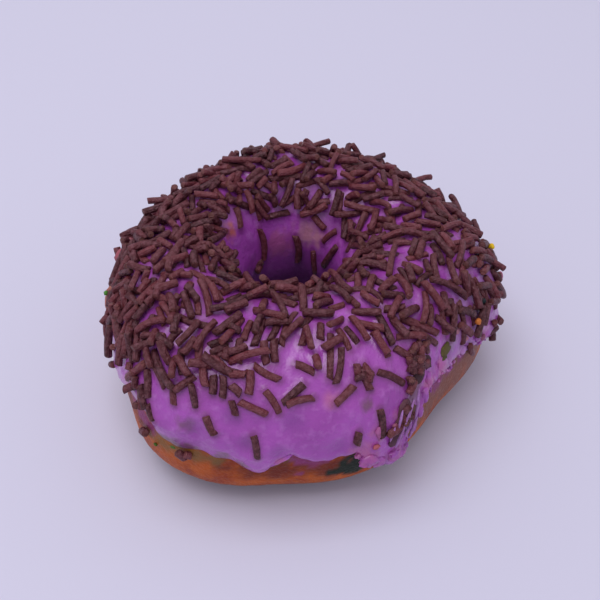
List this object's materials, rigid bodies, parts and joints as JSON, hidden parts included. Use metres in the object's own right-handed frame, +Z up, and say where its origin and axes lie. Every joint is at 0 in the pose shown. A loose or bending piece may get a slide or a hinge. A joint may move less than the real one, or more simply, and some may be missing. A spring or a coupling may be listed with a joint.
{
  "type": "iced ring doughnut",
  "caption": "Ring doughnut lying flat: a fried dough ring with an open hole, its top dipped in purple icing with an uneven edge and covered in chocolate sprinkles.",
  "frame": {"origin": "the middle of the outline's bounding box, on the surface that the doughnut lies on", "axes": "+Z points up out of the iced crown, -Y points to the side where the icing has the fewest sprinkles and +X to the right of that side"},
  "size_m": [0.0902, 0.0898, 0.0408],
  "materials": {
    "dough": "fried dough: orange-brown crust, matt to satin, darker and greasier where it lay in the fat",
    "icing": "set purple sugar icing, satin, with matt dark-brown chocolate sprinkles fused to it"
  },
  "bodies": {
    "root": {"dough_ring": "dough", "icing": "icing"}
  },
  "joints": []
}
